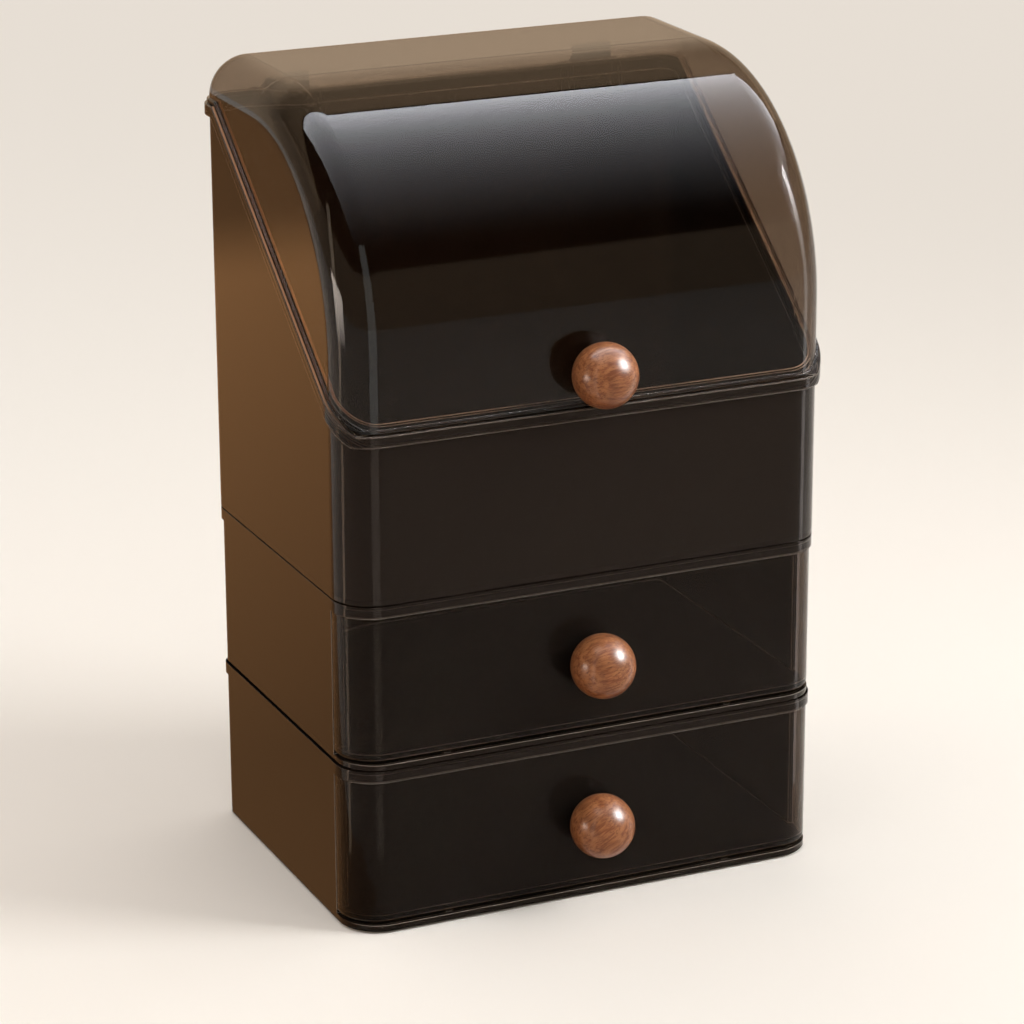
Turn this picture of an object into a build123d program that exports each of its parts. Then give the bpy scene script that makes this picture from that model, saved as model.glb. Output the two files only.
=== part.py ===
"""Stacked vanity organizer: a hinged hood over an open bin, on two cases with a drawer each.

Millimetres, +Z up, front towards -Y, lid and drawers shut.  The pieces are built round the
middle of the body's plan, and stored round the middle of the whole footprint, which takes in
the knobs and the hinges.
"""
from build123d import *
import math
import os

os.makedirs("parts", exist_ok=True)

# ------------------------------------------------------------------ body plan
body_width = 240.0          # over the deck bands and the bin
body_depth = 168.5          # front of the bands to the back of the bin
front_corner = 19.0         # plan radius at the front, also the hood's long side edges
back_corner = 9.5           # plan radius at the back, also the hood's back edges
wall = 2.2                  # moulded wall of the bin, cases and drawer fronts
edge_round = 0.7            # broken outer edge of every moulding

# ------------------------------------------------------------------ heights
foot_standoff = 1.3         # pad that shows below the lowest case
case_height = 78.7          # one drawer case, seam to seam
front_rim_rise = 79.5       # bin base to its front rim
back_rim_rise = 196.3       # bin base to its back rim
hood_rise = 21.4            # back rim to the flat top of the lid

# ------------------------------------------------------------------ cases
band_height = 5.8           # lip round the deck of a case
band_step = 1.0             # how far the band stands proud of walls and drawer front
sill_height = 2.8           # floor edge under the drawer front
front_wrap = 22.0           # how far the drawer front runs back round the corner
rail_inset = 49.0           # side of the body to a runner rail
rail_width = 3.0
rail_height = 2.4           # above the case floor

# ------------------------------------------------------------------ stacking pegs
peg_diameter = 8.0
peg_height = 2.0
peg_clearance = 0.15        # radial, peg in socket
socket_depth = 2.4
socket_wall = 2.0           # round and over the blind socket
peg_inset_x = 26.0          # from the side of the body
peg_inset_y = 24.0          # from its front and back

# ------------------------------------------------------------------ drawers
front_gap = 0.45            # drawer front to sill, band and case wall
tray_wall = 2.0
tray_lift = 1.6             # tray floor above the lower edge of the front
side_clearance = 0.8        # tray to case wall, each side
tray_drop = 6.0             # tray sides lower than the drawer front
tray_back_gap = 1.6         # tray to the case's back wall
front_bottom_round = 2.8    # rounded lower edge of the drawer front
drawer_travel = 115.0       # until the stops meet the corners of the band
stop_length = 12.0
stop_rise = 2.2             # stop over the lower edge of the band

# ------------------------------------------------------------------ bin rim
back_ledge = 16.25          # level part of the rim at the back
flange_step = 2.3           # flange proud of the bin wall
flange_height = 5.6
lip_height = 2.4            # dust lip that the lid drops over
lip_wall = 1.2
lip_clearance = 0.5

# ------------------------------------------------------------------ lid
lid_wall = 2.0
lid_straight = 32.7         # upright part of the front, between the rim and the curve
bead_step = 1.2             # bead along the lid's edge
bead_height = 1.7
rim_round = 0.5             # rounded outer edges of flange and bead
rim_gap = 0.5               # lid edge over the bin rim when shut

# ------------------------------------------------------------------ hinges
hinge_inset = 42.0          # side of the body to the middle of a hinge
hinge_offset = 4.6          # pin axis behind the back wall
hinge_drop = 1.8            # pin axis below the back rim
pin_diameter = 3.0
pin_play = 0.05             # radial, pin in the lid's knuckle
pin_seat = 0.01             # radial, pin in the bin's ears
knuckle_radius = 3.2
knuckle_width = 20.0
knuckle_leaf = 4.0          # height of the knuckle's foot on the lid wall
leaf_rise = 2.6             # lid edge to the lower end of that foot
ear_radius = 3.6
ear_width = 5.5
ear_gap = 0.4               # ear to knuckle, each side
lid_open_angle = 110.0
stop_gap = 0.3              # knuckle to stop ledge with the lid fully open
stop_reach = 5.5            # stop ledge beyond the pin axis

# ------------------------------------------------------------------ knobs
knob_radius = 15.0
knob_seat_radius = 9.0      # flat where the ball meets the front
knob_bore_depth = 15.0
screw_diameter = 4.0
screw_clearance = 0.1       # radial, in the wall; half of it in the knob
screw_head_radius = 4.0
screw_head_height = 2.6
screw_head_bevel = 0.8
screw_reach = 13.0          # screw end into the knob
driver_slot = 1.1
driver_depth = 1.3
washer_radius = 5.5
washer_thickness = 0.8
lid_knob_rise = 17.5        # above the front rim
drawer_knob_rise = 34.6     # above the lower edge of the drawer front

# ------------------------------------------------------------------ feet
pad_radius = 7.0
pad_stem_clearance = 0.1    # radial, stem in socket
pad_stem_height = 2.0

# ------------------------------------------------------------------ derived places
half_width = body_width / 2
half_depth = body_depth / 2
lower_z = foot_standoff
middle_z = lower_z + case_height
bin_z = middle_z + case_height
front_rim_z = bin_z + front_rim_rise
back_rim_z = bin_z + back_rim_rise
lid_top_z = back_rim_z + hood_rise
lid_front_radius = lid_top_z - front_rim_z - lid_straight
rim_front_y = -half_depth + wall
rim_back_y = half_depth - back_ledge
rim_slope = math.atan2(back_rim_z - front_rim_z, rim_back_y - rim_front_y)
front_end_y = -half_depth + front_wrap
drawer_rise = sill_height + front_gap
drawer_height = case_height - band_height - front_gap - drawer_rise
rail_spacing = body_width - 2 * rail_inset
hinge_spacing = body_width - 2 * hinge_inset
hinge_y = half_depth + hinge_offset
hinge_z = back_rim_z - hinge_drop
leaf_z = back_rim_z + rim_gap + leaf_rise
socket_radius = peg_diameter / 2 + peg_clearance
knob_centre = math.sqrt(knob_radius ** 2 - knob_seat_radius ** 2)
footprint_front = -half_depth - knob_centre - knob_radius
footprint_back = hinge_y + stop_reach
footprint_middle = (footprint_front + footprint_back) / 2
far = 2 * body_depth


def plan_face(inset):
    """Plan outline of the body, moved inwards by inset."""
    with BuildSketch() as outline:
        Rectangle(body_width - 2 * inset, body_depth - 2 * inset)
        fillet(outline.vertices().group_by(Axis.Y)[0], front_corner - inset)
        fillet(outline.vertices().group_by(Axis.Y)[-1], back_corner - inset)
    return outline.sketch


def floor_face(inset):
    """Case floor outline: full depth at the front, under the band step elsewhere."""
    with BuildSketch() as outline:
        with Locations((0, -band_step / 2)):
            Rectangle(
                body_width - 2 * band_step - 2 * inset,
                body_depth - band_step - 2 * inset,
            )
        fillet(outline.vertices().group_by(Axis.Y)[0], front_corner - inset)
        fillet(outline.vertices().group_by(Axis.Y)[-1], back_corner - band_step - inset)
    return outline.sketch


def front_strip(end_y):
    """Everything in front of end_y, to cut an outline with."""
    with BuildSketch() as strip:
        with Locations((0, end_y)):
            Rectangle(2 * body_width, far, align=(Align.CENTER, Align.MAX))
    return strip.sketch


def rim_points(offset):
    """Side view of the bin's rim from front to back, moved up square to itself by offset."""
    shift = offset * math.tan(rim_slope / 2)
    return [
        (-far, front_rim_z + offset),
        (rim_front_y - shift, front_rim_z + offset),
        (rim_back_y - shift, back_rim_z + offset),
        (far, back_rim_z + offset),
    ]


def rim_band(low, high):
    """Prism across the body that fills the strip along the rim between two offsets."""
    with BuildPart() as band:
        with BuildSketch(Plane.YZ.offset(-body_width)):
            with BuildLine():
                Polyline(*rim_points(low), *reversed(rim_points(high)), close=True)
            make_face()
        extrude(amount=2 * body_width)
    return band.part


def hood_block(inset):
    """Solid block of the hood's outer form, moved inwards by inset, down to the bin base."""
    side = half_width - inset
    front = -half_depth + inset
    top = lid_top_z - inset
    radius = lid_front_radius - inset
    with BuildPart() as block:
        with BuildSketch(Plane.YZ):
            with BuildLine():
                Polyline(
                    (front + radius, top),
                    (far, top),
                    (far, bin_z),
                    (front, bin_z),
                    (front, top - radius),
                )
                RadiusArc((front, top - radius), (front + radius, top), radius)
            make_face()
        extrude(amount=side, both=True)
        long_edges = (
            block.faces().filter_by(Axis.X).edges()
            .filter_by(lambda e: e.center().Z > bin_z + 1 and e.center().Y < far - 1)
        )
        fillet(long_edges, front_corner - inset)
        split(bisect_by=Plane.XZ.offset(-(half_depth - inset)), keep=Keep.TOP)
        back_edges = (
            block.faces().sort_by(Axis.Y)[-1].edges()
            .filter_by(lambda e: e.center().Z > bin_z + 1)
        )
        fillet(back_edges, back_corner - inset)
    return block.part


def faces_out(face):
    """True for an upright face that looks away from the middle of the plan."""
    place = face.center()
    normal = face.normal_at(place)
    return abs(normal.Z) < 0.01 and normal.X * place.X + normal.Y * place.Y > 0


def outer_rims(part):
    """Upper and lower edges of the walls that look outwards."""
    walls = part.faces().filter_by(faces_out)
    return walls.edges().filter_by(Axis.Z, reverse=True)


def peg_places():
    """Corner places of pegs, sockets and feet in plan."""
    return GridLocations(body_width - 2 * peg_inset_x, body_depth - 2 * peg_inset_y, 2, 2)


# ------------------------------------------------------------------ drawer cases
band_outer = plan_face(0)
band_inner = plan_face(wall)
case_outer = plan_face(band_step)
case_inner = plan_face(band_step + wall)
floor_outer = floor_face(0)
floor_inner = floor_face(wall)
behind_front = front_strip(front_end_y + front_gap)
before_front = front_strip(front_end_y)


def make_case(base_z):
    """Open-fronted case: floor with sill and rails, three walls, deck with its band."""
    with BuildPart() as case:
        with BuildSketch(Plane.XY.offset(base_z)):
            add(floor_outer)
        extrude(amount=wall)
        # sill along the front edge and round both corners
        with BuildSketch(Plane.XY.offset(base_z)):
            add(floor_outer)
            add(floor_inner, mode=Mode.SUBTRACT)
            add(behind_front, mode=Mode.INTERSECT)
        extrude(amount=sill_height)
        # side and back walls
        with BuildSketch(Plane.XY.offset(base_z)):
            add(case_outer)
            add(case_inner, mode=Mode.SUBTRACT)
            add(behind_front, mode=Mode.SUBTRACT)
        extrude(amount=case_height)
        # deck plate and the band round it
        with BuildSketch(Plane.XY.offset(base_z + case_height - wall)):
            add(band_outer)
        extrude(amount=wall)
        with BuildSketch(Plane.XY.offset(base_z + case_height - band_height)):
            add(band_outer)
            add(band_inner, mode=Mode.SUBTRACT)
        extrude(amount=band_height)
        fillet(case.faces().sort_by(Axis.Z)[-1].edges(), edge_round)
        # runner rails, from behind the drawer front to the back wall
        with BuildSketch(Plane.XY.offset(base_z + wall)):
            with GridLocations(rail_spacing, 1, 2, 1):
                with Locations((0, -half_depth + band_step + wall + front_gap)):
                    Rectangle(
                        rail_width,
                        body_depth - 2 * band_step - 2 * wall - front_gap,
                        align=(Align.CENTER, Align.MIN),
                    )
        extrude(amount=rail_height)
        # bosses over the sockets, sockets from below, pegs on the deck
        with BuildSketch(Plane.XY.offset(base_z)):
            with peg_places():
                Circle(socket_radius + socket_wall)
        extrude(amount=socket_depth + socket_wall - 0.2)
        with BuildSketch(Plane.XY.offset(base_z)):
            with peg_places():
                Circle(socket_radius)
        extrude(amount=socket_depth, mode=Mode.SUBTRACT)
        with BuildSketch(Plane.XY.offset(base_z + case_height)):
            with peg_places():
                Circle(peg_diameter / 2)
        extrude(amount=peg_height, taper=4)
    return case.part


# ------------------------------------------------------------------ drawers
front_outer = plan_face(band_step)
front_inner = plan_face(band_step + wall)
tray_half = half_width - band_step - wall - side_clearance
tray_back = half_depth - band_step - wall - tray_back_gap
# a stop's outer corner meets the rounded inner corner of the band
band_corner_x = half_width - front_corner
band_corner_y = -half_depth + front_corner
stop_meets_y = band_corner_y - math.sqrt((front_corner - wall) ** 2 - (tray_half - band_corner_x) ** 2)
stop_y = stop_meets_y + drawer_travel


def make_drawer(case_z):
    """Tray whose tall front wraps round both front corners of the case."""
    base_z = case_z + drawer_rise
    floor_z = base_z + tray_lift
    tray_height = drawer_height - tray_drop - tray_lift
    with BuildPart() as drawer:
        with BuildSketch(Plane.XY.offset(base_z)):
            add(front_outer)
            add(before_front, mode=Mode.INTERSECT)
        extrude(amount=drawer_height)
        chamfer(drawer.edges().filter_by(Axis.Z).group_by(Axis.Y)[-1], edge_round)
        fillet(drawer.faces().sort_by(Axis.Z)[-1].edges(), edge_round)
        lower_edges = (
            drawer.faces().sort_by(Axis.Z)[0].edges()
            .filter_by(lambda e: e.center().Y < front_end_y - 0.5)
        )
        fillet(lower_edges, front_bottom_round)
        # skirt of the front, hollow below the tray floor so that it clears the rails
        with BuildSketch(Plane.XY.offset(base_z)):
            add(front_inner)
        extrude(amount=tray_lift, mode=Mode.SUBTRACT)
        # tray behind the front
        with BuildSketch(Plane.XY.offset(floor_z)) as tray:
            with Locations((0, tray_back)):
                Rectangle(2 * tray_half, tray_back - front_end_y + wall, align=(Align.CENTER, Align.MAX))
            fillet(tray.vertices().group_by(Axis.Y)[-1], back_corner - band_step - wall)
        extrude(amount=tray_height)
        # hollow of the front, then of the tray
        with BuildSketch(Plane.XY.offset(floor_z + tray_wall)):
            add(front_inner)
            with Locations((0, front_end_y - wall)):
                Rectangle(2 * body_width, far, align=(Align.CENTER, Align.MIN), mode=Mode.SUBTRACT)
        extrude(amount=drawer_height, mode=Mode.SUBTRACT)
        with BuildSketch(Plane.XY.offset(floor_z + tray_wall)) as hollow:
            with Locations((0, tray_back - tray_wall)):
                Rectangle(
                    2 * (tray_half - tray_wall),
                    tray_back - tray_wall - front_end_y + 2 * wall,
                    align=(Align.CENTER, Align.MAX),
                )
            fillet(hollow.vertices().group_by(Axis.Y)[-1], back_corner - band_step - wall - tray_wall)
        extrude(amount=drawer_height, mode=Mode.SUBTRACT)
        # stops on the tray sides, which meet the band from behind
        with BuildSketch(Plane.XY.offset(floor_z + tray_height - 1)):
            with GridLocations(2 * tray_half - tray_wall, 1, 2, 1):
                with Locations((0, stop_y)):
                    Rectangle(tray_wall, stop_length, align=(Align.CENTER, Align.MIN))
        extrude(amount=1 + tray_drop + front_gap + stop_rise)
        # screw hole of the knob
        with BuildSketch(Plane.XZ.offset(half_depth)):
            with Locations((0, base_z + drawer_knob_rise)):
                Circle(screw_diameter / 2 + screw_clearance)
        extrude(amount=-front_wrap / 2, mode=Mode.SUBTRACT)
    return drawer.part


# ------------------------------------------------------------------ hood, flange, bead and lip
hood_outer = hood_block(0)
hood_inner = hood_block(lid_wall)
hood_beaded = hood_block(-bead_step)

with BuildPart() as lid_bead:
    add(hood_beaded)
    add(hood_inner, mode=Mode.SUBTRACT)
    add(rim_band(rim_gap, rim_gap + bead_height), mode=Mode.INTERSECT)
    # the bead stops short of each hinge
    with BuildSketch(Plane.XY.offset(back_rim_z - hood_rise)):
        with GridLocations(hinge_spacing, 1, 2, 1):
            with Locations((0, half_depth)):
                Rectangle(knuckle_width + 2 * ear_gap + 2 * ear_width + 1, far, align=(Align.CENTER, Align.MIN))
    extrude(amount=2 * hood_rise, mode=Mode.SUBTRACT)
    fillet(outer_rims(lid_bead), rim_round)

with BuildPart() as bin_flange:
    with BuildSketch(Plane.XY.offset(bin_z)):
        add(plan_face(-flange_step))
        add(plan_face(wall), mode=Mode.SUBTRACT)
    extrude(amount=back_rim_rise + hood_rise)
    add(rim_band(-flange_height, 0), mode=Mode.INTERSECT)
    fillet(outer_rims(bin_flange), rim_round)

lip_inset = lid_wall + lip_clearance
with BuildPart() as dust_lip:
    with BuildSketch(Plane.XY.offset(bin_z)):
        add(plan_face(lip_inset))
        add(plan_face(lip_inset + lip_wall), mode=Mode.SUBTRACT)
    extrude(amount=back_rim_rise + hood_rise)
    add(rim_band(-flange_height, lip_height), mode=Mode.INTERSECT)

# root that joins the lip to the bin wall, below the rim only
with BuildPart() as lip_root:
    with BuildSketch(Plane.XY.offset(bin_z)):
        add(plan_face(wall / 2))
        add(plan_face(lip_inset + lip_wall), mode=Mode.SUBTRACT)
    extrude(amount=back_rim_rise + hood_rise)
    add(rim_band(-flange_height, 0), mode=Mode.INTERSECT)

# ------------------------------------------------------------------ upper bin
with BuildPart() as upper_bin:
    with BuildSketch(Plane.XY.offset(bin_z)):
        add(band_outer)
    extrude(amount=back_rim_rise + hood_rise)
    fillet(upper_bin.faces().sort_by(Axis.Z)[0].edges(), edge_round)
    with BuildSketch(Plane.XY.offset(bin_z + wall)):
        add(band_inner)
    extrude(amount=back_rim_rise + hood_rise, mode=Mode.SUBTRACT)
    # rim: level at the front, sloping up the sides, level again at the back
    add(rim_band(0, far), mode=Mode.SUBTRACT)
    add(bin_flange.part)
    add(dust_lip.part)
    add(lip_root.part)
    # bosses and blind sockets for the pegs below
    with BuildSketch(Plane.XY.offset(bin_z + wall / 2)):
        with peg_places():
            Circle(socket_radius + socket_wall)
    extrude(amount=socket_depth + socket_wall - wall / 2)
    with BuildSketch(Plane.XY.offset(bin_z)):
        with peg_places():
            Circle(socket_radius)
    extrude(amount=socket_depth, mode=Mode.SUBTRACT)
    # pocket in the flange for each knuckle
    with BuildSketch(Plane.XY.offset(back_rim_z - 2 * flange_height)):
        with GridLocations(hinge_spacing, 1, 2, 1):
            with Locations((0, half_depth)):
                Rectangle(knuckle_width + 2 * ear_gap, far, align=(Align.CENTER, Align.MIN))
    extrude(amount=3 * flange_height, mode=Mode.SUBTRACT)
    # two ears to each hinge, flared down onto the back wall
    for hinge_x in (-hinge_spacing / 2, hinge_spacing / 2):
        for ear_x in (
            hinge_x - knuckle_width / 2 - ear_gap - ear_width,
            hinge_x + knuckle_width / 2 + ear_gap,
        ):
            with BuildSketch(Plane.YZ.offset(ear_x)):
                with Locations((hinge_y, hinge_z)):
                    Circle(ear_radius)
                with Locations((half_depth - wall / 2, hinge_z - 1)):
                    Rectangle(wall / 2, 4 * ear_radius, align=(Align.MIN, Align.MAX))
                make_hull()
            extrude(amount=ear_width)
        # ledge between the ears that stops the fully opened lid
        leaf_top = leaf_z + knuckle_leaf - hinge_z
        leaf_far = math.hypot(hinge_offset, leaf_top)
        leaf_turn = math.atan2(leaf_top, -hinge_offset) - math.acos(knuckle_radius / leaf_far)
        lean = leaf_turn - math.radians(lid_open_angle)
        ledge_y = hinge_y + stop_reach
        ledge_z = hinge_z - ((knuckle_radius + stop_gap) - stop_reach * math.cos(lean)) / -math.sin(lean)
        root_y = half_depth - wall / 2
        root_z = ledge_z + (ledge_y - root_y) * math.cos(lean) / math.sin(lean)
        with BuildSketch(Plane.YZ.offset(hinge_x - knuckle_width / 2 - ear_gap - 0.5)):
            with BuildLine():
                Polyline(
                    (root_y, root_z),
                    (ledge_y, ledge_z),
                    (ledge_y, ledge_z - wall),
                    (root_y, hinge_z - 4 * ear_radius),
                    close=True,
                )
            make_face()
        extrude(amount=knuckle_width + 2 * ear_gap + 1)
    # pin bores through the ears
    with BuildSketch(Plane.YZ):
        with Locations((hinge_y, hinge_z)):
            Circle(pin_diameter / 2 + pin_seat)
    extrude(amount=body_width, both=True, mode=Mode.SUBTRACT)

# ------------------------------------------------------------------ lid
with BuildPart() as lid:
    add(hood_outer)
    add(hood_inner, mode=Mode.SUBTRACT)
    add(rim_band(-far, rim_gap), mode=Mode.SUBTRACT)
    add(lid_bead.part)
    # a knuckle on a foot at each hinge
    for hinge_x in (-hinge_spacing / 2, hinge_spacing / 2):
        with BuildSketch(Plane.YZ.offset(hinge_x - knuckle_width / 2)):
            with Locations((hinge_y, hinge_z)):
                Circle(knuckle_radius)
            with Locations((half_depth - lid_wall / 2, leaf_z)):
                Rectangle(lid_wall / 2, knuckle_leaf, align=(Align.MIN, Align.MIN))
            make_hull()
        extrude(amount=knuckle_width)
        with BuildSketch(Plane.YZ.offset(hinge_x - knuckle_width / 2)):
            with Locations((hinge_y, hinge_z)):
                Circle(pin_diameter / 2 + pin_play)
        extrude(amount=knuckle_width, mode=Mode.SUBTRACT)
    # screw hole of the knob
    with BuildSketch(Plane.XZ.offset(half_depth)):
        with Locations((0, front_rim_z + lid_knob_rise)):
            Circle(screw_diameter / 2 + screw_clearance)
    extrude(amount=-front_wrap / 2, mode=Mode.SUBTRACT)

# ------------------------------------------------------------------ knobs, screws and washers
def make_knob(front_y, height):
    """Turned ball knob with a flat seat and a screw bore."""
    bore = screw_diameter / 2 + screw_clearance / 2
    with BuildPart() as knob:
        with BuildSketch(Plane.XY.offset(height)):
            with BuildLine():
                Polyline(
                    (0, front_y - knob_centre - knob_radius),
                    (0, front_y - knob_bore_depth),
                    (bore, front_y - knob_bore_depth),
                    (bore, front_y),
                    (knob_seat_radius, front_y),
                )
                ThreePointArc(
                    (knob_seat_radius, front_y),
                    (knob_radius, front_y - knob_centre),
                    (0, front_y - knob_centre - knob_radius),
                )
            make_face()
        revolve(axis=Axis((0, 0, height), (0, 1, 0)))
    return knob.part


def make_screw(seat_y, height):
    """Pan head screw from inside, with a cross slot; seat_y is the seat of its head."""
    with BuildPart() as screw:
        with BuildSketch(Plane.XZ.offset(-seat_y - screw_head_height)):
            with Locations((0, height)):
                Circle(screw_head_radius)
        extrude(amount=screw_head_height)
        chamfer(screw.edges().sort_by(Axis.Y)[-1], screw_head_bevel)
        with BuildSketch(Plane.XZ.offset(-seat_y)):
            with Locations((0, height)):
                Circle(screw_diameter / 2)
        extrude(amount=washer_thickness + wall + screw_reach)
        chamfer(screw.edges().sort_by(Axis.Y)[0], 0.5)
        with BuildSketch(Plane.XZ.offset(-seat_y - screw_head_height)):
            with Locations((0, height)):
                Rectangle(driver_slot, 1.2 * screw_head_radius)
                Rectangle(1.2 * screw_head_radius, driver_slot)
        extrude(amount=driver_depth, mode=Mode.SUBTRACT)
    return screw.part


def make_washer(inner_y, height):
    """Flat washer on the inside of the wall; inner_y is its face on the wall."""
    with BuildPart() as washer:
        with BuildSketch(Plane.XZ.offset(-inner_y)):
            with Locations((0, height)):
                Circle(washer_radius)
                Circle(screw_diameter / 2 + screw_clearance, mode=Mode.SUBTRACT)
        extrude(amount=-washer_thickness)
    return washer.part


# ------------------------------------------------------------------ hinge pins
def make_pin(hinge_x):
    """Plain pin across both ears of one hinge."""
    length = knuckle_width + 2 * ear_gap + 2 * ear_width
    with BuildPart() as pin:
        with BuildSketch(Plane.YZ.offset(hinge_x - length / 2)):
            with Locations((hinge_y, hinge_z)):
                Circle(pin_diameter / 2)
        extrude(amount=length)
        chamfer(pin.edges().filter_by(GeomType.CIRCLE), 0.3)
    return pin.part


# ------------------------------------------------------------------ foot pads
def make_pad(pad_x, pad_y):
    """Push-in pad: disc under the lowest case, stem in its socket."""
    with BuildPart() as pad:
        with BuildSketch(Plane.XY):
            with Locations((pad_x, pad_y)):
                Circle(pad_radius)
        extrude(amount=foot_standoff)
        chamfer(pad.edges().group_by(Axis.Z)[0], 0.3)
        with BuildSketch(Plane.XY.offset(foot_standoff)):
            with Locations((pad_x, pad_y)):
                Circle(socket_radius - pad_stem_clearance)
        extrude(amount=pad_stem_height)
    return pad.part


# ------------------------------------------------------------------ labels and files
pieces = {
    "upper_bin": upper_bin.part,
    "lid": lid.part,
    "middle_case": make_case(middle_z),
    "lower_case": make_case(lower_z),
    "middle_drawer": make_drawer(middle_z),
    "lower_drawer": make_drawer(lower_z),
    "hinge_pin_left": make_pin(-hinge_spacing / 2),
    "hinge_pin_right": make_pin(hinge_spacing / 2),
}
drawer_front_y = -half_depth + band_step
knob_seats = {
    "lid": (-half_depth, lid_wall, front_rim_z + lid_knob_rise),
    "middle": (drawer_front_y, wall, middle_z + drawer_rise + drawer_knob_rise),
    "lower": (drawer_front_y, wall, lower_z + drawer_rise + drawer_knob_rise),
}
for seat, (front_y, front_wall, height) in knob_seats.items():
    inner_y = front_y + front_wall
    pieces[f"{seat}_knob"] = make_knob(front_y, height)
    pieces[f"{seat}_knob_screw"] = make_screw(inner_y + washer_thickness, height)
    pieces[f"{seat}_knob_washer"] = make_washer(inner_y, height)
pad_x = half_width - peg_inset_x
pad_y = half_depth - peg_inset_y
for corner, place in {
    "front_left": (-pad_x, -pad_y),
    "front_right": (pad_x, -pad_y),
    "back_left": (-pad_x, pad_y),
    "back_right": (pad_x, pad_y),
}.items():
    pieces[f"foot_pad_{corner}"] = make_pad(*place)

for name, piece in pieces.items():
    stored = piece.moved(Location((0, -footprint_middle, 0)))
    stored.label = name
    export_step(stored, f"parts/{name}.step")
    print(name, len(stored.solids()), "solid", round(stored.volume / 1000, 2), "cm3")
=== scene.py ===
"""Smoky clear vanity organizer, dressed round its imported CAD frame.

A hinged hood over an open bin, stacked on two cases with a drawer each, all in clear smoky
plastic with turned wooden ball knobs.  Metres, +Z up, front towards -Y, as in the CAD.
"""
import logging
import math
from dataclasses import dataclass
from enum import Enum
from typing import Any, Optional, Sequence

import bpy
from mathutils import Matrix, Vector


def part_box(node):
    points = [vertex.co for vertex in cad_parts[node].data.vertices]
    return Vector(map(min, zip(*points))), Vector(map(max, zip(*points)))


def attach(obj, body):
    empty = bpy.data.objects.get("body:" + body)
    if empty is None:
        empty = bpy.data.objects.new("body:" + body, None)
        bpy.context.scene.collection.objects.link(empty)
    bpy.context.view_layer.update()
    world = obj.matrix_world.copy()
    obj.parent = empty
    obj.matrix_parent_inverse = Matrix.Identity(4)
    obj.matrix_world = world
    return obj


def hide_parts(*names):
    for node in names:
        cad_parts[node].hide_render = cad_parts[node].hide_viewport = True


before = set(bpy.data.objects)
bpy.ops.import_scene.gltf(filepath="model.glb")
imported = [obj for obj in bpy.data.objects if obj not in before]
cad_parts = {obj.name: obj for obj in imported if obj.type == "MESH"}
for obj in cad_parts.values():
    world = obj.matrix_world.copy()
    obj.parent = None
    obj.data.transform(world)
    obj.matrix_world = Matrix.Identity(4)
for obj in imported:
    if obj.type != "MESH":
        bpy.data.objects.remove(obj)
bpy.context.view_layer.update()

LOG = logging.getLogger("organizer")
MM = 0.001


class Body(Enum):
    """CAD bodies that pieces ride on."""

    STACK = "stack"
    LID = "lid"
    MIDDLE_DRAWER = "middle_drawer"
    LOWER_DRAWER = "lower_drawer"


class Slot(Enum):
    """Material slots of the record."""

    HOOD = "hood_plastic"
    BIN = "bin_plastic"
    CASE = "case_plastic"
    DRAWER = "drawer_plastic"
    KNOB = "knob_wood"
    SCREW = "screw_steel"
    WASHER = "washer_nylon"
    PIN = "pin_steel"
    PAD = "pad_rubber"


# ------------------------------------------------------------------ colour and nodes
def linear(hex_colour: str) -> tuple[float, float, float]:
    """Turns an sRGB hex value into linear light.

    Args:
        hex_colour: six hex digits, with or without a leading '#'.

    Returns:
        Red, green and blue from 0 to 1, linear.
    """
    digits = hex_colour.lstrip("#")
    channels = [int(digits[i:i + 2], 16) / 255 for i in (0, 2, 4)]
    return tuple(c / 12.92 if c <= 0.04045 else ((c + 0.055) / 1.055) ** 2.4 for c in channels)


def rgba(hex_colour: str) -> tuple[float, float, float, float]:
    """Linear colour of a hex value with full alpha."""
    return (*linear(hex_colour), 1.0)


def add_node(tree: bpy.types.NodeTree, kind: str, inputs: Optional[dict] = None, **settings: Any) -> bpy.types.Node:
    """Adds a node with its settings, its input values and the links that reach it.

    Args:
        tree: node tree that gets the node.
        kind: Blender's type name of the node.
        inputs: value or source socket for each input, by name or index.
        **settings: properties of the node itself.

    Returns:
        The new node.
    """
    node = tree.nodes.new(kind)
    for name, value in settings.items():
        setattr(node, name, value)
    for key, value in (inputs or {}).items():
        if isinstance(value, bpy.types.NodeSocket):
            tree.links.new(value, node.inputs[key])
        else:
            node.inputs[key].default_value = value
    return node


def new_material(name: str) -> tuple[bpy.types.Material, bpy.types.NodeTree]:
    """Makes an empty node material.

    Args:
        name: name of the material.

    Returns:
        The material and its cleared node tree.
    """
    material = bpy.data.materials.new(name)
    material.use_nodes = True
    material.node_tree.nodes.clear()
    return material, material.node_tree


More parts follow.
